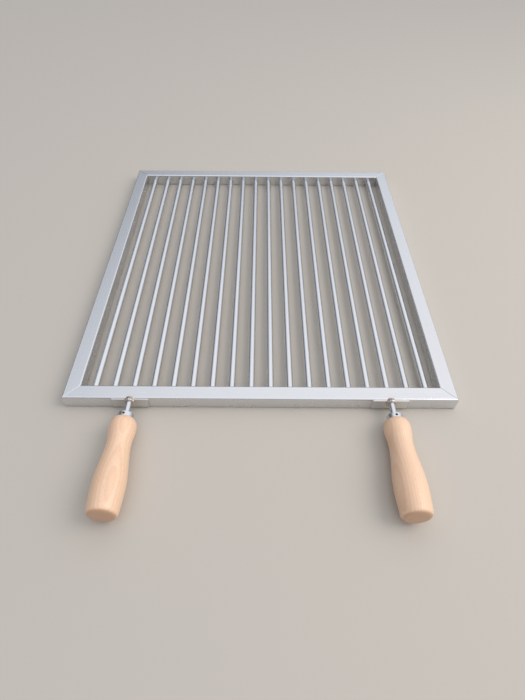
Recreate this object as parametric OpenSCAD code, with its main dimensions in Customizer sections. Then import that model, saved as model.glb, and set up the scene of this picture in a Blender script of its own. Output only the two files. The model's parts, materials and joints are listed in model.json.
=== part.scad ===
// Grill grate: a mitred frame of square steel tube, a row of round bars let into
// its front and back tubes, and two turned wooden grips that clamp onto steel rods
// welded to the front tube. Millimetres. The grate lies flat on Z = 0, X runs across
// the bars, Y runs along them, and the grips point towards -Y.

/* [Frame] */
// Outside width of the frame, across the bars
frame_w = 500; // [360:5:700]
// Outside depth of the frame, along the bars
frame_d = 560; // [300:5:700]
// Side of the square tube
tube_side = 20; // [18:0.5:30]
// Wall thickness of the square tube
tube_wall = 1.5; // [1:0.1:3]
// Outside radius of the tube's long edges
tube_edge_r = 2; // [1:0.1:3]

/* [Bars] */
// Number of round bars
bar_count = 18; // [8:1:24]
// Diameter of a bar
bar_d = 9.5; // [6:0.5:12]
// From a side tube's inner face to the axis of the first bar
bar_edge = 15.4; // [10:0.2:30]
// How far a bar's end stands past the inner wall, inside the tube
bar_stub = 1.5; // [0.5:0.5:6]

/* [Handle plates] */
// From each side of the frame in to the axis of the nearer handle
handle_inset = 85.5; // [50:0.5:140]
// Width of the plate that stiffens the front tube behind a rod
plate_w = 45; // [30:1:60]
// Height of the plate
plate_h = 16; // [14:0.5:17]
// Thickness of the plate
plate_t = 2; // [1.5:0.25:4]
// From the tube's top face down to the plate's top edge
plate_drop = 0.5; // [0:0.1:1]
// Leg of the weld bead down each end of the plate
plate_weld_leg = 1.8; // [1:0.1:3]

/* [Rods] */
// Diameter of the rod that carries a grip
rod_d = 8; // [6:0.5:10]
// Length of rod inside the grip
rod_in_grip = 72; // [40:1:90]
// From the tube's top face down to the rod's axis, where it leaves the plate
rod_drop = 3.5; // [3:0.1:8]
// Angle at which the rod rises from the plate, in degrees
rod_rise = 2.4; // [0:0.2:6]
// Width of the weld bead round the rod, at the plate's face
rod_weld_w = 3; // [2:0.1:4]
// Length of the bead along the rod
rod_weld_leg = 3; // [2:0.1:5]
// How far the bead runs back over the tube's top, from the plate's face
rod_weld_back = 4.8; // [4:0.1:7]
// Width of the bead round the rod's line where it ends on the tube's top
rod_weld_tail_w = 1.2; // [0.8:0.1:2.5]

/* [Collars] */
// Length of bare rod between the plate and the collar
shank_len = 21; // [14:0.5:40]
// Diameter of the collar
collar_d = 20.6; // [18:0.2:24]
// Length of the collar in front of the grip
collar_len = 7.4; // [6:0.2:14]
// Chamfer on the collar's edges
collar_chamfer = 0.6; // [0.2:0.1:1.5]
// Wall of the collar's spigot inside the grip
spigot_wall = 3; // [2:0.25:4]
// Length of the spigot
spigot_len = 12; // [6:0.5:20]

/* [Set screws] */
// Diameter of the set screw in the collar
screw_d = 3; // [2.5:0.5:4]
// How far the screw's outer end lies below the collar's surface
screw_sink = 2.2; // [1.5:0.1:3]
// Width across the flats of its hexagon socket
screw_socket = 1.5; // [1.2:0.1:1.8]
// Depth of the socket
screw_socket_depth = 1.5; // [0.5:0.1:2]
// Chamfer at the screw's tip
screw_point = 0.4; // [0.1:0.1:0.6]

/* [Grips] */
// Length of the wooden grip
grip_len = 120; // [90:1:150]
// How far the wood stands out past the collar where they meet
mouth_step = 0.4; // [0.2:0.1:2]
// Diameter of the rounded head
head_d = 32.4; // [28:0.2:40]
// From the collar to the widest point of the head
head_at = 11.6; // [8:0.2:18]
// Diameter of the waist
waist_d = 28.4; // [24:0.2:34]
// From the collar to the waist
waist_at = 33; // [26:0.5:44]
// Diameter of the belly
belly_d = 37.2; // [30:0.2:42]
// From the end back to the widest point of the belly
belly_back = 34; // [20:1:48]
// Diameter of the end, before its rounded edge
end_d = 34.4; // [28:0.2:40]
// Radius of the rounded edge at the end
end_round = 4; // [1:0.5:8]
// Depth of the rod's bore past the rod's end
bore_spare = 3; // [1:0.5:10]

/* [Clearances] */
// Between a bar and its hole, on the radius
bar_play = 0.05; // [0.02:0.01:0.3]
// Between the rod and the bores that slide on it, on the radius
rod_play = 0.06; // [0.02:0.01:0.1]
// Between the weld bead and the rod, on the radius
bead_play = 0.03; // [0.01:0.01:0.1]
// Between the spigot and its socket in the grip, on the radius
spigot_play = 0.05; // [0.02:0.01:0.2]
// Between the set screw and its hole, on the radius
screw_play = 0.05; // [0.02:0.01:0.1]
// Between the set screw's tip and the rod
tip_play = 0.05; // [0.02:0.01:0.2]

/* [Hidden] */
// Facets of a full circle on a cylinder or a turned piece
$fn = 72;
// Steps in a quarter of a rounded edge
edge_steps = 6;
// Steps along each swelling or hollow of the grip
curve_steps = 10;
// Overrun of a cutting shape past the face that it cuts
cut = 1;
// Least inner radius of the tube's long edges
inner_edge_min = 0.2;
// First number that has two digits
first_two_digits = 10;

steel = [0.80, 0.81, 0.83];
bar_steel = [0.84, 0.85, 0.87];
weld_steel = [0.66, 0.63, 0.60];
turned_steel = [0.74, 0.76, 0.79];
screw_steel = [0.25, 0.25, 0.27];
beech = [0.91, 0.74, 0.55];

// The bars stand at half the tube's height and share its inner width evenly
inner_w = frame_w - 2 * tube_side;
bar_pitch = (inner_w - 2 * bar_edge) / (bar_count - 1);
bar_z = tube_side / 2;
bar_reach = tube_wall + bar_stub;
bar_len = frame_d - 2 * tube_side + 2 * bar_reach;
inner_edge_r = max(tube_edge_r - tube_wall, inner_edge_min);

plate_top = tube_side - plate_drop;
plate_bottom = plate_top - plate_h;

// The handles' place across the frame, and the rod's height at the plate
handle_x = frame_w / 2 - handle_inset;
rod_z = tube_side - rod_drop;
rod_weld_r = rod_d / 2 + rod_weld_w;
rod_weld_tail_r = rod_d / 2 + rod_weld_tail_w;

// Stations along the rod, measured from the plate's face
collar_at = shank_len;
grip_at = collar_at + collar_len;
grip_end = grip_at + grip_len;
rod_len = grip_at + rod_in_grip;
screw_at = collar_at + collar_len / 2;

// Sizes across the rod
spigot_d = rod_d + 2 * spigot_wall;
mouth_d = collar_d + 2 * mouth_step;
screw_tip = rod_d / 2 + tip_play;
screw_len = collar_d / 2 - screw_sink - screw_tip;

// Stations along the grip, measured from the collar
bore_depth = rod_in_grip + bore_spare;
belly_at = grip_len - belly_back;

// The whole object's box runs from the tip of the grips to the back of the frame
handle_reach = plate_t + (grip_end - end_round) * cos(rod_rise)
    + (end_d / 2 - end_round) * sin(rod_rise) + end_round;
middle_y = (frame_d - handle_reach) / 2;

sides = [["left", -1], ["right", 1]];
parts = ["plate", "plate_welds", "rod", "rod_weld", "collar", "set_screw", "grip"];

function two_digits(i) = str(i < first_two_digits ? "0" : "", i);
function bar_name(i) = str("bar_", two_digits(i));
function side_name(side, part) = str(side[0], "_", part);

// Points of a square with rounded corners, its lower left corner at the origin
function rounded_square(size, r) = [
    for (corner = [[size - r, size - r, 0], [r, size - r, 90], [r, r, 180], [size - r, r, 270]])
        for (step = [0 : edge_steps])
            let (a = corner[2] + 90 * step / edge_steps)
                [corner[0] + r * cos(a), corner[1] + r * sin(a)]
];

// Half a cosine wave from one radius to the next, as t goes from 0 to 1
function ease(from, to, t) = from + (to - from) * (1 - cos(180 * t)) / 2;
function slope_away(from, to, t) = from + (to - from) * (1 - cos(90 * t));

function quarter_in(r0, r1, z0, z1, t) = [r0 + (r1 - r0) * sin(90 * t), z0 + (z1 - z0) * (1 - cos(90 * t))];

// Outline of the turned grip as [radius, distance from the collar]
function grip_outline() = concat(
    [[0, 0]],
    [for (i = [0 : curve_steps]) quarter_in(mouth_d / 2, head_d / 2, 0, head_at, i / curve_steps)],
    [for (i = [1 : curve_steps]) let (t = i / curve_steps)
        [ease(head_d / 2, waist_d / 2, t), head_at + (waist_at - head_at) * t]],
    [for (i = [1 : curve_steps]) let (t = i / curve_steps)
        [ease(waist_d / 2, belly_d / 2, t), waist_at + (belly_at - waist_at) * t]],
    [for (i = [1 : curve_steps]) let (t = i / curve_steps)
        [slope_away(belly_d / 2, end_d / 2, t), belly_at + (grip_len - end_round - belly_at) * t]],
    [for (i = [1 : edge_steps]) let (a = 90 * i / edge_steps)
        [end_d / 2 - end_round * (1 - cos(a)), grip_len - end_round * (1 - sin(a))]],
    [[0, grip_len]]
);

// Puts the whole object's origin in the middle of its footprint
module in_place() {
    translate([0, -middle_y, 0]) children();
}

// Local +Z runs out along a rod from the plate's face, and local +Y points up
module on_rod(side) {
    in_place()
        translate([side[1] * handle_x, -plate_t, rod_z])
            rotate([90 - rod_rise, 0, 0])
                children();
}

// A straight run of tube along +X, its outside lower edge on the X axis
module tube_run(len, hollow) {
    rotate([90, 0, 90])
        linear_extrude(height = len)
            difference() {
                polygon(rounded_square(tube_side, tube_edge_r));
                if (hollow)
                    translate([tube_wall, tube_wall])
                        polygon(rounded_square(tube_side - 2 * tube_wall, inner_edge_r));
            }
}

// One side of the frame, mitred at both ends
module mitred_tube(len) {
    translate([-len / 2, 0, 0])
        intersection() {
            tube_run(len, true);
            translate([0, 0, -cut])
                linear_extrude(height = tube_side + 2 * cut)
                    polygon([[0, 0], [len, 0], [len - tube_side, tube_side], [tube_side, tube_side]]);
        }
}

function bar_x(i) = -inner_w / 2 + bar_edge + (i - 1) * bar_pitch;

// Round holes through the inner wall of the front tube
module bar_holes() {
    for (i = [1 : bar_count])
        translate([bar_x(i), tube_side + cut, bar_z])
            rotate([90, 0, 0])
                cylinder(d = bar_d + 2 * bar_play, h = tube_wall + 2 * cut);
}

module drilled_tube() {
    difference() {
        mitred_tube(frame_w);
        bar_holes();
    }
}

module front_tube() {
    color(steel) in_place() drilled_tube();
}

module back_tube() {
    color(steel) in_place() translate([0, frame_d, 0]) mirror([0, 1, 0]) drilled_tube();
}

module side_tube(side) {
    color(steel)
        in_place()
            translate([side[1] * frame_w / 2, frame_d / 2, 0])
                rotate([0, 0, side[1] * 90])
                    mitred_tube(frame_d);
}

module bar(i) {
    color(bar_steel)
        in_place()
            translate([bar_x(i), tube_side - bar_reach, bar_z])
                rotate([-90, 0, 0])
                    cylinder(d = bar_d, h = bar_len);
}

// The plate's own box, in the frame's place
module plate_box(side) {
    translate([side[1] * handle_x - plate_w / 2, -plate_t, plate_bottom])
        cube([plate_w, plate_t, plate_h]);
}

module plate(side) {
    color(steel) in_place() plate_box(side);
}

// A quarter-round bead down each end of the plate
module plate_welds(side) {
    color(weld_steel)
        in_place()
            for (end = [-1, 1])
                translate([side[1] * handle_x + end * plate_w / 2, 0, 0])
                    intersection() {
                        translate([0, 0, plate_bottom])
                            cylinder(r = plate_weld_leg, h = tube_side - tube_edge_r - plate_bottom);
                        translate([min(0, end * 2 * plate_weld_leg), -2 * plate_weld_leg, 0])
                            cube([2 * plate_weld_leg, 2 * plate_weld_leg, tube_side]);
                    }
}

// The room that the rod takes, cut off square by the plate's face
module rod_room(side, play) {
    difference() {
        on_rod(side)
            translate([0, 0, -cut])
                cylinder(r = rod_d / 2 + play, h = rod_len + cut);
        in_place()
            translate([side[1] * handle_x - rod_d, -plate_t, 0])
                cube([2 * rod_d, rod_d, tube_side + rod_d]);
    }
}

module rod(side) {
    color(turned_steel) rod_room(side, 0);
}

// Bead round the rod that also runs back over the tube's top edge
module rod_weld(side) {
    color(weld_steel)
        difference() {
            on_rod(side) {
                cylinder(r1 = rod_weld_r, r2 = rod_d / 2 + 2 * bead_play, h = rod_weld_leg);
                translate([0, 0, -rod_weld_back])
                    cylinder(r1 = rod_weld_tail_r, r2 = rod_weld_r, h = rod_weld_back);
            }
            rod_room(side, bead_play);
            in_place() {
                plate_box(side);
                translate([-frame_w / 2, 0, 0]) tube_run(frame_w, false);
            }
        }
}

module collar(side) {
    color(turned_steel)
        on_rod(side)
            translate([0, 0, collar_at])
                difference() {
                    union() {
                        cylinder(d1 = collar_d - 2 * collar_chamfer, d2 = collar_d, h = collar_chamfer);
                        translate([0, 0, collar_chamfer])
                            cylinder(d = collar_d, h = collar_len - collar_chamfer);
                        translate([0, 0, collar_len])
                            cylinder(d = spigot_d, h = spigot_len);
                    }
                    translate([0, 0, -cut])
                        cylinder(d = rod_d + 2 * rod_play, h = collar_len + spigot_len + 2 * cut);
                    translate([0, 0, screw_at - collar_at])
                        rotate([-90, 0, 0])
                            cylinder(d = screw_d + 2 * screw_play, h = collar_d);
                }
}

module set_screw(side) {
    color(screw_steel)
        on_rod(side)
            translate([0, screw_tip, screw_at])
                rotate([-90, 0, 0])
                    difference() {
                        union() {
                            cylinder(d1 = screw_d - 2 * screw_point, d2 = screw_d, h = screw_point);
                            translate([0, 0, screw_point])
                                cylinder(d = screw_d, h = screw_len - screw_point);
                        }
                        translate([0, 0, screw_len - screw_socket_depth])
                            cylinder(d = screw_socket / cos(30), h = screw_socket_depth + cut, $fn = 6);
                    }
}

module grip(side) {
    color(beech)
        on_rod(side)
            translate([0, 0, grip_at])
                difference() {
                    rotate_extrude() polygon(grip_outline());
                    translate([0, 0, -cut])
                        cylinder(d = rod_d + 2 * rod_play, h = bore_depth + cut);
                    translate([0, 0, -cut])
                        cylinder(d = spigot_d + 2 * spigot_play, h = spigot_len + spigot_play + cut);
                }
}

front_tube();
back_tube();
side_tube(sides[0]);  // left_tube
side_tube(sides[1]);  // right_tube
for (i = [1 : bar_count])
    bar(i);
for (side = sides) {
    plate(side);
    plate_welds(side);
    rod(side);
    rod_weld(side);
    collar(side);
    set_screw(side);
    grip(side);
}
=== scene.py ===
# %% [markdown]
# # A grill grate of stainless steel and beech
# The grate is a mitred frame of square tube with a row of round bars let into it, and two turned
# wooden grips on steel rods at the front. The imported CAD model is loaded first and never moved.
# Everything below is dressed around it: a CAD part whose shape is right only gets a finish, and a part
# that needs softer edges, ripples or a smooth turned outline is modelled again in the same place.

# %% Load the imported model
import json
import math

import bmesh
import bpy
from mathutils import Matrix, Vector


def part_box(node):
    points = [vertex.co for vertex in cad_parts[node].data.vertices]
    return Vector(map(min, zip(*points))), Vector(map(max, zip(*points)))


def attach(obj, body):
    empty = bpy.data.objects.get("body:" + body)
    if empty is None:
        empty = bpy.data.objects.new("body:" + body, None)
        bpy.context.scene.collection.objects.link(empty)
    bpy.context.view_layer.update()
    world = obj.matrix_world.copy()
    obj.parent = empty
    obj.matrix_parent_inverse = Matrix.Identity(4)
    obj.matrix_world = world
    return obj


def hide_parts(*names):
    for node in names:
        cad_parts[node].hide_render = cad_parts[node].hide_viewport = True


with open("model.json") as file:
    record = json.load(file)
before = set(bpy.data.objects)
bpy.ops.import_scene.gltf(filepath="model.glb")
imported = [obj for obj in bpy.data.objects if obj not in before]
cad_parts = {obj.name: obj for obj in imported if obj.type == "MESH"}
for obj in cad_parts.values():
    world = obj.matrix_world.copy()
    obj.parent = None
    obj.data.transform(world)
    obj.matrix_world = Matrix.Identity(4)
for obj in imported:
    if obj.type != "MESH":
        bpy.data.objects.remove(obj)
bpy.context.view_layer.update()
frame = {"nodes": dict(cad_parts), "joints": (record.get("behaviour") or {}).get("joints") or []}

MM = 0.001

# %% [markdown]
# ## Sizes read from the frame
# A dressed piece must sit exactly where the CAD part is, so its sizes are read from the loaded nodes
# and not typed in again. The rods rise a little from the front tube, and the joint that lets a handle
# slide off carries that direction.

# %% Measure the frame
tube_lo, tube_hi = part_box("front_tube")
frame_lo, frame_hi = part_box("left_tube")[0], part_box("right_tube")[1]
tube_side = tube_hi.z - tube_lo.z
frame_w = frame_hi.x - frame_lo.x
frame_d = frame_hi.y - frame_lo.y
frame_mid_y = (frame_hi.y + frame_lo.y) / 2

bars = sorted(name for name in frame["nodes"] if name.startswith("bar_"))
sides = ("left", "right")
slides = {joint["child"]: Vector(joint["axis"]) for joint in frame["joints"]}
print(f"frame {frame_w / MM:.0f} x {frame_d / MM:.0f} mm of {tube_side / MM:.0f} mm tube, {len(bars)} bars")

# %% Find each rod's axis
def rod_axis(side):
    """Where the axis of a rod leaves its plate, and the direction in which it points."""
    out = slides[f"{side}_handle"].normalized()
    lo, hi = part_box(f"{side}_rod")
    radius = (hi.x - lo.x) / 2
    foot = Vector(((lo.x + hi.x) / 2, hi.y, lo.z + radius / abs(out.y)))
    return foot, out, radius


rods = {side: rod_axis(side) for side in sides}
for side, (foot, out, radius) in rods.items():
    print(f"{side} rod: radius {radius / MM:.1f} mm, leaves its plate at z {foot.z / MM:.1f} mm")

# %% [markdown]
# ## The camera
# The picture is taken from in front of the grips, about half a metre up, looking steeply down with a
# wide lens. Position and angles were found by fitting the frame's corners and bars, so they are
# written as real distances from the middle of the front tube's lower edge. A camera could also be
# aimed with a Track To constraint, but a matrix built from the three angles keeps the slight roll.

# %% Place the camera
CAMERA_FROM_FRONT_EDGE = Vector((-0.16, -327.2, 499.5)) * MM
CAMERA_YAW = math.radians(0.36)
CAMERA_PITCH_DOWN = math.radians(49.62)
CAMERA_ROLL = math.radians(0.665)
LENS_MM = 23.68
SENSOR_LONG_SIDE_MM = 36

ahead = Vector((math.sin(CAMERA_YAW) * math.cos(CAMERA_PITCH_DOWN),
                math.cos(CAMERA_YAW) * math.cos(CAMERA_PITCH_DOWN),
                -math.sin(CAMERA_PITCH_DOWN)))
level_right = Vector((math.cos(CAMERA_YAW), -math.sin(CAMERA_YAW), 0))
level_up = level_right.cross(ahead)
right = math.cos(CAMERA_ROLL) * level_right + math.sin(CAMERA_ROLL) * level_up
up = -math.sin(CAMERA_ROLL) * level_right + math.cos(CAMERA_ROLL) * level_up

camera = bpy.data.objects.new("camera", bpy.data.cameras.new("camera"))
bpy.context.scene.collection.objects.link(camera)
camera.data.sensor_fit = "AUTO"
camera.data.sensor_width = SENSOR_LONG_SIDE_MM
camera.data.lens = LENS_MM
front_edge = Vector((0, frame_lo.y, 0))
camera.matrix_world = (Matrix.Translation(front_edge + CAMERA_FROM_FRONT_EDGE)
                       @ Matrix((right, up, -ahead)).transposed().to_4x4())
bpy.context.scene.camera = camera
print("camera at", [round(v, 3) for v in camera.location])

# %% [markdown]
# ## Small tools for building pieces
# Each new piece starts as a bmesh, is shaped by operators, and is then turned into an object that
# stands in for its CAD nodes and rides on the same body. Faces are shaded smooth, and an edge stays
# crisp only where two faces meet at more than a set angle.

# %% Turn a bmesh into a piece
CRISP_ANGLE = math.radians(35)


def piece_from(bm, name, body, slot, *replaced):
    """Links the shape as an object that rides on a body and replaces CAD nodes."""
    for face in bm.faces:
        face.smooth = True
    for edge in bm.edges:
        edge.smooth = len(edge.link_faces) == 2 and edge.calc_face_angle(0) < CRISP_ANGLE
    mesh = bpy.data.meshes.new(name)
    bm.to_mesh(mesh)
    bm.free()
    piece = bpy.data.objects.new(name, mesh)
    bpy.context.scene.collection.objects.link(piece)
    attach(piece, body)
    if replaced:
        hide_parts(*replaced)
    print(f"{name}: {len(mesh.polygons)} faces")
    return piece


def keep_flats_flat(piece):
    """Weights normals by face area, so that a wide flat face isn't shaded by its rounded edge."""
    modifier = piece.modifiers.new("flats", "WEIGHTED_NORMAL")
    modifier.weight = 100
    modifier.keep_sharp = True


def baked(piece):
    """Applies the piece's modifiers to its mesh."""
    graph = bpy.context.evaluated_depsgraph_get()
    mesh = bpy.data.meshes.new_from_object(piece.evaluated_get(graph))
    piece.modifiers.clear()
    piece.data = mesh
    return piece

# %% [markdown]
# ## The frame's tubes
# Square stainless tube has rounded long edges, and at each corner two lengths meet in a mitre whose
# weld has been ground flush. A row of cubes with a Bevel modifier would look close, but real tube is
# hollow and its ends are cut at an angle. So each length starts as an open box, gets its four long
# edges bevelled, is given its wall, and is then cut by two slanting planes. A fine bevel round each
# cut leaves the thin line that shows where two lengths meet.

# %% Shape one mitred length of tube
TUBE_WALL = 1.5 * MM
TUBE_EDGE_R = 2 * MM
TUBE_EDGE_STEPS = 7
SEAM_BEVEL = 0.35 * MM


def mitred_tube(length):
    """A tube along X with its long outer side at Y = 0, its mitres opening towards +Y."""
    bm = bmesh.new()
    size = Matrix.Diagonal((length + 2 * tube_side, tube_side, tube_side, 1))
    bmesh.ops.create_cube(bm, size=1, matrix=Matrix.Translation((0, tube_side / 2, tube_side / 2)) @ size)
    ends = [face for face in bm.faces if abs(face.normal.x) > 0.9]
    bmesh.ops.delete(bm, geom=ends, context="FACES")
    long_edges = [edge for edge in bm.edges if edge.calc_length() > length]
    bmesh.ops.bevel(bm, geom=long_edges, offset=TUBE_EDGE_R, offset_type="OFFSET", affect="EDGES",
                    segments=TUBE_EDGE_STEPS, profile=0.5, material=-1)
    bmesh.ops.recalc_face_normals(bm, faces=bm.faces)
    bmesh.ops.solidify(bm, geom=bm.faces[:], thickness=TUBE_WALL)
    for end in (-1, 1):
        cut_mitre(bm, end, length)
    bmesh.ops.recalc_face_normals(bm, faces=bm.faces)
    return bm


def cut_mitre(bm, end, length):
    """Cuts one end at 45 degrees, closes the wall's rim and eases its outer edge."""
    everything = bm.verts[:] + bm.edges[:] + bm.faces[:]
    cut = bmesh.ops.bisect_plane(bm, geom=everything, plane_co=(end * length / 2, 0, 0),
                                 plane_no=(end, 1, 0), clear_outer=True)
    rim = [part for part in cut["geom_cut"] if isinstance(part, bmesh.types.BMEdge)]
    bmesh.ops.bridge_loops(bm, edges=rim)
    outer = [edge for edge in rim if all(on_skin(vert.co) for vert in edge.verts)]
    bmesh.ops.bevel(bm, geom=outer, offset=SEAM_BEVEL, offset_type="OFFSET", affect="EDGES",
                    segments=1, profile=0.5, material=-1)


def on_skin(point):
    """True for a point on the tube's outside, which lies past half of the wall."""
    middle = tube_side / 2
    inside = middle - TUBE_WALL / 2
    off = [abs(point.y - middle), abs(point.z - middle)]
    past_corner = math.hypot(*[max(0, v - (middle - TUBE_EDGE_R)) for v in off])
    return max(off) > inside or past_corner > TUBE_EDGE_R - TUBE_WALL / 2

# %% Place the four lengths
def place_tube(name, length, middle, turn):
    bm = mitred_tube(length)
    place = Matrix.Translation(middle) @ Matrix.Rotation(turn, 4, "Z")
    bmesh.ops.transform(bm, matrix=place, verts=bm.verts)
    piece = piece_from(bm, name + "_skin", "frame", "frame_steel", name)
    keep_flats_flat(piece)
    return piece


tubes = {
    "front_tube": place_tube("front_tube", frame_w, (0, frame_lo.y, 0), 0),
    "back_tube": place_tube("back_tube", frame_w, (0, frame_hi.y, 0), math.pi),
    "left_tube": place_tube("left_tube", frame_d, (frame_lo.x, frame_mid_y, 0), -math.pi / 2),
    "right_tube": place_tube("right_tube", frame_d, (frame_hi.x, frame_mid_y, 0), math.pi / 2),
}

# %% [markdown]
# ## The handle plates
# A flat strip stiffens the front tube behind each rod. It is sheared from sheet, so its edges are
# crisp but not razor sharp: a narrow bevel is enough to catch a thin line of light along the top.

# %% Bevel the two plates
PLATE_EDGE = 0.3 * MM


def plate(side):
    lo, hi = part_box(f"{side}_plate")
    bm = bmesh.new()
    place = Matrix.Translation((lo + hi) / 2) @ Matrix.Diagonal((*(hi - lo), 1))
    bmesh.ops.create_cube(bm, size=1, matrix=place)
    bmesh.ops.bevel(bm, geom=bm.edges[:], offset=PLATE_EDGE, offset_type="OFFSET", affect="EDGES",
                    segments=3, profile=0.5, material=-1)
    piece = piece_from(bm, f"{side}_plate_skin", "frame", "frame_steel", f"{side}_plate")
    keep_flats_flat(piece)
    return piece


plates = {side: plate(side) for side in sides}

# %% [markdown]
# ## The weld beads
# A bead is a row of small puddles that froze one after another, so it looks like overlapping drops.
# It could be sculpted, but the real process is easy to copy: lay a ball at each puddle, merge them
# into one skin with a voxel remesh, and relax it a little. The drops round a rod run in a ring, and a
# few more reach back over the tube's rounded top edge.

# %% Merge drops into one bead
BEAD_VOXEL = 0.25 * MM
BEAD_RELAX_STEPS = 4


def bead(name, drops, replaced):
    """One lumpy skin over a list of drops, each a centre and a radius."""
    bm = bmesh.new()
    for centre, radius in drops:
        bmesh.ops.create_icosphere(bm, subdivisions=3, radius=radius, matrix=Matrix.Translation(centre))
    piece = piece_from(bm, name, "frame", "weld_steel", replaced)
    remesh = piece.modifiers.new("merge", "REMESH")
    remesh.mode = "VOXEL"
    remesh.voxel_size = BEAD_VOXEL
    remesh.use_smooth_shade = True
    relax = piece.modifiers.new("relax", "SMOOTH")
    relax.iterations = BEAD_RELAX_STEPS
    return baked(piece)

# %% Lay the beads round the rods
RING_DROPS = 15
RING_DROP_R = 1.95 * MM
RING_WOBBLE, RING_WAVES = 0.05, 5
RING_STAND_OFF = 1.0 * MM
# Each row behind the ring: its distance, its drops' radius and number, and its spread to either side
BACK_ROWS = ((0.9 * MM, 2.1 * MM, 5, 62), (2.7 * MM, 1.65 * MM, 4, 40))


def rod_bead(side):
    """Drops in a ring where the rod meets its plate, and rows of drops behind it on the tube."""
    foot, out, radius = rods[side]
    across = Vector((1, 0, 0))
    rise = out.cross(across)
    drops = []
    for i in range(RING_DROPS):
        turn = 2 * math.pi * i / RING_DROPS
        spoke = across * math.sin(turn) + rise * math.cos(turn)
        wobble = 1 + RING_WOBBLE * math.sin(RING_WAVES * turn + 1)
        centre = foot + out * RING_STAND_OFF + spoke * (radius + RING_STAND_OFF)
        drops.append((centre, RING_DROP_R * wobble))
    for back, drop_r, count, spread in BACK_ROWS:
        for i in range(count):
            turn = math.radians(spread) * (2 * i / (count - 1) - 1)
            spoke = across * math.sin(turn) + rise * math.cos(turn)
            drops.append((foot - out * back + spoke * radius, drop_r))
    return bead(f"{side}_rod_bead", drops, f"{side}_rod_weld")


rod_beads = {side: rod_bead(side) for side in sides}

# %% Lay the beads down the plates' ends
END_DROP_R = 1.5 * MM
END_DROP_PITCH = 1.3 * MM
END_SWAY, END_SWAY_TURN = 0.12 * MM, 2.1


def plate_beads(side):
    """A line of drops in the corner between each end of a plate and the tube's face."""
    lo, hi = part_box(f"{side}_plate_welds")
    plate_lo, plate_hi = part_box(f"{side}_plate")
    count = int((hi.z - lo.z - 2 * END_DROP_R) / END_DROP_PITCH)
    drops = []
    for end_x in (plate_lo.x, plate_hi.x):
        for i in range(count + 1):
            z = lo.z + END_DROP_R + (hi.z - lo.z - 2 * END_DROP_R) * i / count
            sway = END_SWAY * math.sin(END_SWAY_TURN * i)
            drops.append((Vector((end_x + sway, plate_hi.y, z)), END_DROP_R))
    return bead(f"{side}_plate_beads", drops, f"{side}_plate_welds")


end_beads = {side: plate_beads(side) for side in sides}

# %% [markdown]
# ## The turned grips
# Each grip is turned on a lathe: a rounded head at the collar, a waist for the fingers, a long belly
# and a flat end with a rounded edge. A lathe sweeps one outline round an axis, and so does the spin
# operator. The outline needs only the widest and narrowest places, joined by half waves, and it
# carries on inside as the socket for the collar's spigot and the bore for the rod.

# %% Write the outline of a grip
HEAD_R, HEAD_AT = 16.2 * MM, 11.6 * MM
WAIST_R, WAIST_AT = 14.2 * MM, 33 * MM
BELLY_R, BELLY_AT = 18.6 * MM, 86 * MM
END_R, END_ROUND = 17.2 * MM, 5.5 * MM
MOUTH_R, SPIGOT_R, SPIGOT_LEN = 10.7 * MM, 7.05 * MM, 12.05 * MM
ROD_BORE_R, ROD_BORE_DEPTH = 4.06 * MM, 75 * MM
CURVE_STEPS = 14
GRIP_TURN_STEPS = 72


def grip_outline(length):
    """Radius and distance from the collar, from the bottom of the bore round to the middle of the end."""
    steps = [i / CURVE_STEPS for i in range(1, CURVE_STEPS + 1)]
    inside = [(0, ROD_BORE_DEPTH), (ROD_BORE_R, ROD_BORE_DEPTH), (ROD_BORE_R, SPIGOT_LEN),
              (SPIGOT_R, SPIGOT_LEN), (SPIGOT_R, 0), (MOUTH_R, 0)]
    head = [(MOUTH_R + (HEAD_R - MOUTH_R) * math.sin(t * math.pi / 2),
             HEAD_AT * (1 - math.cos(t * math.pi / 2))) for t in steps]
    neck = [(wave(HEAD_R, WAIST_R, t), HEAD_AT + (WAIST_AT - HEAD_AT) * t) for t in steps]
    swell = [(wave(WAIST_R, BELLY_R, t), WAIST_AT + (BELLY_AT - WAIST_AT) * t) for t in steps]
    tail_len = length - END_ROUND - BELLY_AT
    tail = [(BELLY_R + (END_R - BELLY_R) * (1 - math.cos(t * math.pi / 2)), BELLY_AT + tail_len * t)
            for t in steps]
    corner = [(END_R - END_ROUND * (1 - math.cos(t * math.pi / 2)),
               length - END_ROUND * (1 - math.sin(t * math.pi / 2))) for t in steps]
    return inside + head + neck + swell + tail + corner + [(0, length)]


def wave(start, end, t):
    """Half a cosine wave from one radius to the next."""
    return start + (end - start) * (1 - math.cos(math.pi * t)) / 2

# %% Spin the two grips
COLLAR_FACE_TO_WOOD = 28.4 * MM
GRIP_LEN = 120 * MM
SAME_POINT = 0.001 * MM


def along_rod(side):
    """The matrix that takes +Z at the origin to the rod's own line, starting at its plate's face."""
    foot, out, _ = rods[side]
    return Matrix.Translation(foot) @ Vector((0, 0, 1)).rotation_difference(out).to_matrix().to_4x4()


def turned_grip(side):
    bm = bmesh.new()
    dots = [bm.verts.new((radius, 0, along)) for radius, along in grip_outline(GRIP_LEN)]
    lines = [bm.edges.new(pair) for pair in zip(dots, dots[1:])]
    bmesh.ops.spin(bm, geom=dots + lines, cent=(0, 0, 0), axis=(0, 0, 1), dvec=(0, 0, 0),
                   angle=2 * math.pi, steps=GRIP_TURN_STEPS, use_merge=True, use_duplicate=False)
    bmesh.ops.remove_doubles(bm, verts=bm.verts, dist=SAME_POINT)
    bmesh.ops.recalc_face_normals(bm, faces=bm.faces)
    place = along_rod(side) @ Matrix.Translation((0, 0, COLLAR_FACE_TO_WOOD))
    bmesh.ops.transform(bm, matrix=place, verts=bm.verts)
    return piece_from(bm, f"{side}_grip_turned", f"{side}_handle", "beech", f"{side}_grip")


grips = {side: turned_grip(side) for side in sides}

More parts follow.
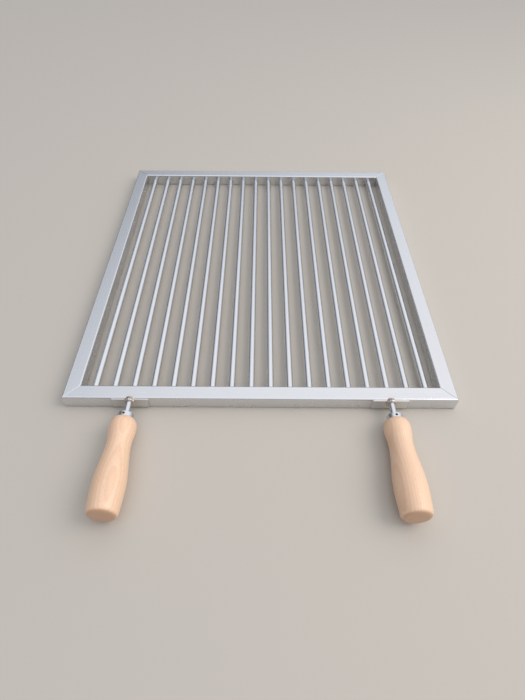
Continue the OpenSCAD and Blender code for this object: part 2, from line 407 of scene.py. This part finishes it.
# %% [markdown]
# ## Tools for building materials
# Every finish is a small network of nodes. Two helpers keep the networks short: one adds a node and
# connects or sets its sockets, the other starts a reusable effect with named inputs and outputs.

# %% Add a node, start an effect
def node(tree, kind, sockets=None, **settings):
    """Adds a node. A socket gets a link if its value is another node's output, or else that value."""
    made = tree.nodes.new(kind)
    for name, value in settings.items():
        setattr(made, name, value)
    for name, value in (sockets or {}).items():
        if isinstance(value, bpy.types.NodeSocket):
            tree.links.new(value, made.inputs[name])
        else:
            made.inputs[name].default_value = value
    return made


def maths(tree, operation, *values, clamp=False):
    """The result of a Math node."""
    made = node(tree, "ShaderNodeMath", dict(enumerate(values)), operation=operation, use_clamp=clamp)
    return made.outputs[0]


def mapped(tree, value, old_low, old_high, low, high):
    """A value moved from one range to another and held within it."""
    sockets = {"Value": value, "From Min": old_low, "From Max": old_high, "To Min": low, "To Max": high}
    return node(tree, "ShaderNodeMapRange", sockets, interpolation_type="SMOOTHSTEP").outputs["Result"]


def effect(name, inputs, outputs):
    """A node group with its sockets made, ready to be filled in."""
    group = bpy.data.node_groups.new(name, "ShaderNodeTree")
    for label, kind, value in inputs:
        socket = group.interface.new_socket(label, in_out="INPUT", socket_type=kind)
        if value is not None:
            socket.default_value = value
    for label, kind in outputs:
        group.interface.new_socket(label, in_out="OUTPUT", socket_type=kind)
    return group, node(group, "NodeGroupInput").outputs, node(group, "NodeGroupOutput").inputs


NUMBER, COLOUR, PLACE = "NodeSocketFloat", "NodeSocketColor", "NodeSocketVector"

# %% [markdown]
# ## Brushed steel
# Satin stainless gets its look from an abrasive belt that leaves thousands of fine parallel lines.
# The lines are far finer than a pixel, so what the eye reads is a soft streaky sheen. The effect takes
# coordinates that are already stretched along the brushing, and makes fine lines for the bump, longer
# streaks for the roughness and the shade, and broad cloudy marks from handling.

# %% Build the brushing effect
def brushing_effect():
    group, given, result = effect(
        "belt_brushing",
        [("Stretched", PLACE, None), ("Object", PLACE, None), ("Roughness", NUMBER, 0.3),
         ("Streaks", NUMBER, 0.06), ("Marks", NUMBER, 0.05), ("Shade", NUMBER, 0.08)],
        [("Roughness", NUMBER), ("Shade", NUMBER), ("Height", NUMBER)])
    fine = node(group, "ShaderNodeTexNoise", {"Vector": given["Stretched"], "Scale": 1.0, "Detail": 3.0,
                                              "Roughness": 0.7}).outputs["Fac"]
    streak = node(group, "ShaderNodeTexNoise", {"Vector": given["Stretched"], "Scale": 0.13,
                                                "Detail": 4.0, "Roughness": 0.6}).outputs["Fac"]
    cloud = node(group, "ShaderNodeTexNoise", {"Vector": given["Object"], "Scale": 26.0, "Detail": 3.0,
                                               "Distortion": 0.6}).outputs["Fac"]
    streak_centred = maths(group, "SUBTRACT", streak, 0.5)
    cloud_mark = mapped(group, cloud, 0.5, 0.72, 0.0, 1.0)
    rough = maths(group, "MULTIPLY_ADD", streak_centred, given["Streaks"], given["Roughness"])
    rough = maths(group, "MULTIPLY_ADD", cloud_mark, given["Marks"], rough)
    group.links.new(rough, result["Roughness"])
    both = maths(group, "ADD", streak_centred, maths(group, "SUBTRACT", fine, 0.5))
    group.links.new(maths(group, "MULTIPLY_ADD", both, given["Shade"], 1.0), result["Shade"])
    group.links.new(fine, result["Height"])
    return group


BRUSHING = brushing_effect()

# %% [markdown]
# ## Heat tint
# Next to a weld, stainless steel turns straw, then bronze and blue, because its oxide skin thickens.
# Most of it is brushed away afterwards, and only a faint stain stays close to the bead.

# %% Build the heat tint effect
def heat_effect():
    group, given, result = effect(
        "weld_heat_tint",
        [("Object", PLACE, None), ("Colour", COLOUR, (0.6, 0.6, 0.6, 1)), ("Left weld", PLACE, None),
         ("Right weld", PLACE, None), ("Reach", NUMBER, 0.02), ("Amount", NUMBER, 0.5)],
        [("Colour", COLOUR)])
    ripple = node(group, "ShaderNodeTexNoise", {"Vector": given["Object"], "Scale": 260.0}).outputs["Fac"]
    gaps = [node(group, "ShaderNodeVectorMath", {0: given["Object"], 1: given[label]},
                 operation="DISTANCE").outputs["Value"] for label in ("Left weld", "Right weld")]
    nearest = maths(group, "MINIMUM", *gaps)
    uneven = maths(group, "MULTIPLY_ADD", ripple, 0.004, nearest)
    closeness = maths(group, "SUBTRACT", 1.0, maths(group, "DIVIDE", uneven, given["Reach"]), clamp=True)
    ramp = node(group, "ShaderNodeValToRGB", {"Fac": closeness})
    stops = ((0.0, (1, 1, 1, 1)), (0.35, (1.0, 0.86, 0.62, 1)), (0.6, (0.86, 0.6, 0.5, 1)),
             (0.85, (0.5, 0.5, 0.7, 1)))
    fill_ramp(ramp, stops)
    tint = {0: given["Amount"], 6: given["Colour"], 7: ramp.outputs["Color"]}
    tinted = node(group, "ShaderNodeMix", tint, data_type="RGBA", blend_type="MULTIPLY").outputs[2]
    group.links.new(tinted, result["Colour"])
    return group


def fill_ramp(ramp, stops):
    """Sets a colour ramp's stops, reusing the two that it starts with."""
    elements = ramp.color_ramp.elements
    while len(elements) < len(stops):
        elements.new(1.0)
    for element, (position, colour) in zip(elements, stops):
        element.position = position
        element.color = colour


HEAT = heat_effect()

# %% [markdown]
# ## The steel finishes
# Tube, bar, rod and weld are all stainless, but each was finished another way. The tubes are brushed
# along their length, the bars are drawn smooth with faint lines, the rods and collars were turned so
# their lines run round, and the beads are wire brushed. A Mapping node turns and stretches Object
# coordinates for each, so one effect serves them all.

# %% Build a steel finish
BUMP_DEPTH = 0.01 * MM


def steel(name, colour, stretch, turn=(0, 0, 0), centre=(0, 0, 0), rough=0.3, streaks=0.08, marks=0.05,
          shade=0.1, bump=0.5, heat=None):
    """A stainless finish. stretch is how many lines the brushing has per metre along X, Y and Z."""
    made = bpy.data.materials.new(name)
    made.use_nodes = True
    tree = made.node_tree
    shader = tree.nodes["Principled BSDF"]
    where = node(tree, "ShaderNodeTexCoord").outputs["Object"]
    turned = node(tree, "ShaderNodeMapping", {"Vector": where, "Location": centre, "Rotation": turn},
                  vector_type="TEXTURE").outputs["Vector"]
    stretched = node(tree, "ShaderNodeMapping", {"Vector": turned, "Scale": stretch}).outputs["Vector"]
    lines = node(tree, "ShaderNodeGroup", node_tree=BRUSHING)
    for label, value in (("Stretched", stretched), ("Object", where)):
        tree.links.new(value, lines.inputs[label])
    for label, value in (("Roughness", rough), ("Streaks", streaks), ("Marks", marks), ("Shade", shade)):
        lines.inputs[label].default_value = value
    shaded = node(tree, "ShaderNodeVectorMath", {0: colour, "Scale": lines.outputs["Shade"]},
                  operation="SCALE").outputs["Vector"]
    if heat:
        shaded = heat_tinted(tree, where, shaded, *heat)
    tree.links.new(shaded, shader.inputs["Base Color"])
    tree.links.new(lines.outputs["Roughness"], shader.inputs["Roughness"])
    relief = node(tree, "ShaderNodeBump", {"Height": lines.outputs["Height"], "Strength": bump,
                                           "Distance": BUMP_DEPTH})
    tree.links.new(relief.outputs["Normal"], shader.inputs["Normal"])
    shader.inputs["Metallic"].default_value = 1.0
    return made


def heat_tinted(tree, where, colour, reach, amount):
    """Stains a colour near the two rods' welds."""
    stain = node(tree, "ShaderNodeGroup", node_tree=HEAT)
    tree.links.new(where, stain.inputs["Object"])
    tree.links.new(colour, stain.inputs["Colour"])
    for label, side in (("Left weld", "left"), ("Right weld", "right")):
        stain.inputs[label].default_value = rods[side][0]
    stain.inputs["Reach"].default_value = reach
    stain.inputs["Amount"].default_value = amount
    return stain.outputs["Colour"]

# %% Make each steel finish
STEEL = (0.74, 0.745, 0.755)
ALONG, ACROSS = 12, 3000
rise_turn = math.atan2(slides["left_handle"].z, -slides["left_handle"].y)
tube_x_steel = steel("brushed_tube_across", STEEL, (ALONG, ACROSS, ACROSS), heat=(0.014, 0.18), rough=0.26)
tube_y_steel = steel("brushed_tube_along", STEEL, (ACROSS, ALONG, ACROSS), rough=0.26)
bar_steel = steel("drawn_bar", (0.76, 0.765, 0.775), (ACROSS, ALONG, ACROSS), rough=0.17, streaks=0.06,
                  marks=0.05, shade=0.08, bump=0.3)
plate_steel = steel("brushed_plate", (0.72, 0.715, 0.705), (ALONG, ACROSS, ACROSS), heat=(0.018, 0.25))
weld_steel = steel("brushed_weld", (0.66, 0.64, 0.62), (900, 900, 900), rough=0.34, streaks=0.2, marks=0.1,
                   shade=0.25, bump=0.8, heat=(0.02, 0.3))
turned_steel = steel("turned_rod", (0.74, 0.745, 0.76), (60, 4000, 60), turn=(-rise_turn, 0, 0), rough=0.16,
                     streaks=0.08, marks=0.04, shade=0.06, bump=0.2)
screw_steel = steel("blackened_screw", (0.05, 0.05, 0.055), (1500, 1500, 1500), rough=0.42, streaks=0.1,
                    marks=0.1, shade=0.3, bump=0.4)
steels = (tube_x_steel, tube_y_steel, bar_steel, plate_steel, weld_steel, turned_steel, screw_steel)
print("steel finishes:", ", ".join(finish.name for finish in steels))

# %% [markdown]
# ## Beech
# Beech is pale pinkish brown with long faint bands where the lathe cut through the year rings, and
# countless short darker flecks, which are its rays. The end is painted darker: partly because it shows
# the rings edge on and drinks more lacquer, and partly as painted shade, since the end faces away from
# the light. The rings are cylinders round the middle of the tree, which lies well outside a small grip,
# so the pattern needs only the distance from a far line.

# %% Build the beech effect
def beech_effect():
    group, given, result = effect(
        "turned_beech",
        [("Grip", PLACE, None), ("Pith", PLACE, (0.03, 0.05, 0)), ("Ring width", NUMBER, 0.0032),
         ("Pale", COLOUR, (0.90, 0.63, 0.43, 1)), ("Rose", COLOUR, (0.82, 0.48, 0.31, 1)),
         ("Fleck", COLOUR, (0.52, 0.27, 0.15, 1)), ("End grain and shade", COLOUR, (0.42, 0.21, 0.10, 1)),
         ("End at", NUMBER, 0.12)],
        [("Colour", COLOUR), ("Height", NUMBER), ("Roughness", NUMBER)])
    drift = node(group, "ShaderNodeMapping",
                 {"Vector": given["Grip"], "Scale": (14, 14, 3)}).outputs["Vector"]
    bend = node(group, "ShaderNodeTexNoise",
                {"Vector": drift, "Scale": 1.0, "Detail": 2.0}).outputs["Color"]
    swayed = node(group, "ShaderNodeVectorMath", {0: bend, 1: (0.006, 0.006, 0), 2: given["Grip"]},
                  operation="MULTIPLY_ADD").outputs["Vector"]
    from_pith = node(group, "ShaderNodeVectorMath", {0: swayed, 1: given["Pith"]},
                     operation="SUBTRACT").outputs["Vector"]
    flat = node(group, "ShaderNodeVectorMath", {0: from_pith, 1: (1, 1, 0)},
                operation="MULTIPLY").outputs["Vector"]
    radius = node(group, "ShaderNodeVectorMath", {0: flat}, operation="LENGTH").outputs["Value"]
    ring = maths(group, "FRACT", maths(group, "DIVIDE", radius, given["Ring width"]))
    late = mapped(group, ring, 0.35, 0.95, 0.0, 1.0)
    fibre_place = node(group, "ShaderNodeMapping", {"Vector": given["Grip"], "Scale": (1600, 1600, 40)})
    fibre = node(group, "ShaderNodeTexNoise", {"Vector": fibre_place.outputs["Vector"], "Scale": 1.0,
                                               "Detail": 3.0}).outputs["Fac"]
    wood = blended(group, maths(group, "MULTIPLY", late, 0.5), given["Pale"], given["Rose"])
    fleck_place = node(group, "ShaderNodeMapping", {"Vector": given["Grip"], "Scale": (1100, 1100, 300)})
    cells = node(group, "ShaderNodeTexVoronoi", {"Vector": fleck_place.outputs["Vector"], "Scale": 1.0})
    fleck = mapped(group, cells.outputs["Distance"], 0.12, 0.34, 1.0, 0.0)
    wood = blended(group, maths(group, "MULTIPLY", fleck, 0.35), wood, given["Fleck"])
    wood = blended(group, mapped(group, fibre, 0.35, 0.75, 0.0, 0.22), wood, given["Rose"])
    along = node(group, "ShaderNodeSeparateXYZ", {"Vector": given["Grip"]}).outputs["Z"]
    end = maths(group, "SUBTRACT", along, maths(group, "SUBTRACT", given["End at"], 0.0016))
    at_end = mapped(group, end, -0.0012, 0.0012, 0.0, 1.0)
    # Painted shade: the end is darkened partly for its end grain and partly for the shade on a face turned
    # away from the light.
    wood = blended(group, maths(group, "MULTIPLY", at_end, 0.6), wood, given["End grain and shade"])
    group.links.new(wood, result["Colour"])
    group.links.new(maths(group, "MULTIPLY_ADD", fleck, -0.6, fibre), result["Height"])
    group.links.new(mapped(group, fibre, 0.3, 0.7, 0.38, 0.48), result["Roughness"])
    return group


def blended(tree, share, first, second):
    """Two colours mixed, with share of the second."""
    return node(tree, "ShaderNodeMix", {0: share, 6: first, 7: second}, data_type="RGBA").outputs[2]


BEECH = beech_effect()

# %% Make the wood of each grip
def beech(side, pith, ring_width):
    """Each grip was cut from another blank, so its rings lie another way."""
    made = bpy.data.materials.new(f"lacquered_beech_{side}")
    made.use_nodes = True
    tree = made.node_tree
    shader = tree.nodes["Principled BSDF"]
    place = along_rod(side) @ Matrix.Translation((0, 0, COLLAR_FACE_TO_WOOD))
    where = node(tree, "ShaderNodeTexCoord").outputs["Object"]
    on_grip = node(tree, "ShaderNodeMapping", {"Vector": where, "Location": place.translation,
                                               "Rotation": place.to_euler()}, vector_type="TEXTURE")
    grain = node(tree, "ShaderNodeGroup", node_tree=BEECH)
    tree.links.new(on_grip.outputs["Vector"], grain.inputs["Grip"])
    grain.inputs["Pith"].default_value = pith
    grain.inputs["Ring width"].default_value = ring_width
    grain.inputs["End at"].default_value = GRIP_LEN
    tree.links.new(grain.outputs["Colour"], shader.inputs["Base Color"])
    tree.links.new(grain.outputs["Roughness"], shader.inputs["Roughness"])
    relief = node(tree, "ShaderNodeBump", {"Height": grain.outputs["Height"], "Strength": 0.35,
                                           "Distance": 0.03 * MM})
    tree.links.new(relief.outputs["Normal"], shader.inputs["Normal"])
    shader.inputs["Coat Weight"].default_value = 0.45
    shader.inputs["Coat Roughness"].default_value = 0.34
    return made


wood = {"left": beech("left", (0.02, 0.045, 0), 0.0034), "right": beech("right", (-0.045, 0.03, 0), 0.0029)}

# %% Give every piece its finish
def finish_with(thing, material):
    thing.data.materials.clear()
    thing.data.materials.append(material)


for name, tube in tubes.items():
    finish_with(tube, tube_x_steel if name in ("front_tube", "back_tube") else tube_y_steel)
for name in bars:
    finish_with(frame["nodes"][name], bar_steel)
for side in sides:
    finish_with(plates[side], plate_steel)
    finish_with(rod_beads[side], weld_steel)
    finish_with(end_beads[side], weld_steel)
    finish_with(grips[side], wood[side])
    finish_with(frame["nodes"][f"{side}_rod"], turned_steel)
    finish_with(frame["nodes"][f"{side}_collar"], turned_steel)
    finish_with(frame["nodes"][f"{side}_set_screw"], screw_steel)

# %% [markdown]
# ## The studio
# Polished metal shows what is around it, so the studio is part of the finish. A soft sky is brightest
# overhead and a little to the right, and falls off towards the horizon, which gives each round bar its
# wide bright band beside a grey one. A warm lamp on the right draws the highlight on the wood. The
# floor is plain and pale, and from below it is see-through, so that the underside can be looked at.
# The tubes lie on it, so it also lets a mirrored ray pass within a hair's breadth of them.

# %% Lay the floor
FLOOR_RADIUS = 9.0
FLOOR_DROP = 0.2 * MM
HAIR_BREADTH = 0.6 * MM
PAPER_COLOUR = (0.56, 0.52, 0.465, 1)

bm = bmesh.new()
bmesh.ops.create_circle(bm, cap_ends=True, radius=FLOOR_RADIUS, segments=96,
                        matrix=Matrix.Translation((0, 0, -FLOOR_DROP)))
floor_mesh = bpy.data.meshes.new("floor")
bm.to_mesh(floor_mesh)
bm.free()
floor = bpy.data.objects.new("floor", floor_mesh)
bpy.context.scene.collection.objects.link(floor)

paper = bpy.data.materials.new("pale_paper")
paper.use_nodes = True
tree = paper.node_tree
matt = tree.nodes["Principled BSDF"]
matt.inputs["Base Color"].default_value = PAPER_COLOUR
matt.inputs["Roughness"].default_value = 0.9
matt.inputs["Specular IOR Level"].default_value = 0.1
see_through = node(tree, "ShaderNodeBsdfTransparent")
below = node(tree, "ShaderNodeNewGeometry").outputs["Backfacing"]
ray = node(tree, "ShaderNodeLightPath").outputs
touching = maths(tree, "LESS_THAN", ray["Ray Length"], HAIR_BREADTH)
mirrored_there = maths(tree, "MULTIPLY", touching, ray["Is Glossy Ray"])
open_share = maths(tree, "MAXIMUM", below, mirrored_there)
mix = node(tree, "ShaderNodeMixShader", {0: open_share, 1: matt.outputs[0], 2: see_through.outputs[0]})
tree.links.new(mix.outputs[0], tree.nodes["Material Output"].inputs["Surface"])
floor.data.materials.append(paper)

# %% Paint the sky
BRIGHTEST = Vector((0.42, 0.0, 0.91)).normalized()
SKY = ((0.0, (0.15, 0.155, 0.17, 1)), (0.2, (0.24, 0.25, 0.28, 1)), (0.35, (0.48, 0.51, 0.57, 1)),
       (0.5, (0.76, 0.80, 0.87, 1)), (0.65, (0.96, 0.98, 1.04, 1)), (0.8, (1.04, 1.05, 1.10, 1)))
GROUND = (0.50, 0.47, 0.43, 1)
BACKDROP = (0.86, 0.86, 0.87, 1)

world = bpy.data.worlds.new("studio")
bpy.context.scene.world = world
world.use_nodes = True
tree = world.node_tree
direction = node(tree, "ShaderNodeTexCoord").outputs["Generated"]
facing = node(tree, "ShaderNodeVectorMath", {0: direction, 1: BRIGHTEST},
              operation="DOT_PRODUCT").outputs["Value"]
sky = node(tree, "ShaderNodeValToRGB", {"Fac": facing})
fill_ramp(sky, SKY)
height = node(tree, "ShaderNodeSeparateXYZ", {"Vector": direction}).outputs["Z"]
around = blended(tree, maths(tree, "LESS_THAN", height, 0.0), sky.outputs["Color"], GROUND)
seen = node(tree, "ShaderNodeLightPath").outputs["Is Camera Ray"]
shown = node(tree, "ShaderNodeMix", {0: seen, 6: around, 7: BACKDROP}, data_type="RGBA")
tree.links.new(shown.outputs[2], tree.nodes["Background"].inputs["Color"])

# %% Hang the lamp
LAMP_AT = Vector((1.4, -0.2, 1.5))
LAMP_SIZE = 1.3
LAMP_POWER = 14
LAMP_COLOUR = (1.0, 0.95, 0.88)

lamp = bpy.data.objects.new("key_lamp", bpy.data.lights.new("key_lamp", "AREA"))
bpy.context.scene.collection.objects.link(lamp)
lamp.data.shape = "DISK"
lamp.data.size = LAMP_SIZE
lamp.data.energy = LAMP_POWER
lamp.data.color = LAMP_COLOUR
lamp.location = LAMP_AT
lamp.rotation_euler = (-LAMP_AT).to_track_quat("-Z", "Y").to_euler()

bpy.context.scene.view_settings.view_transform = "Standard"
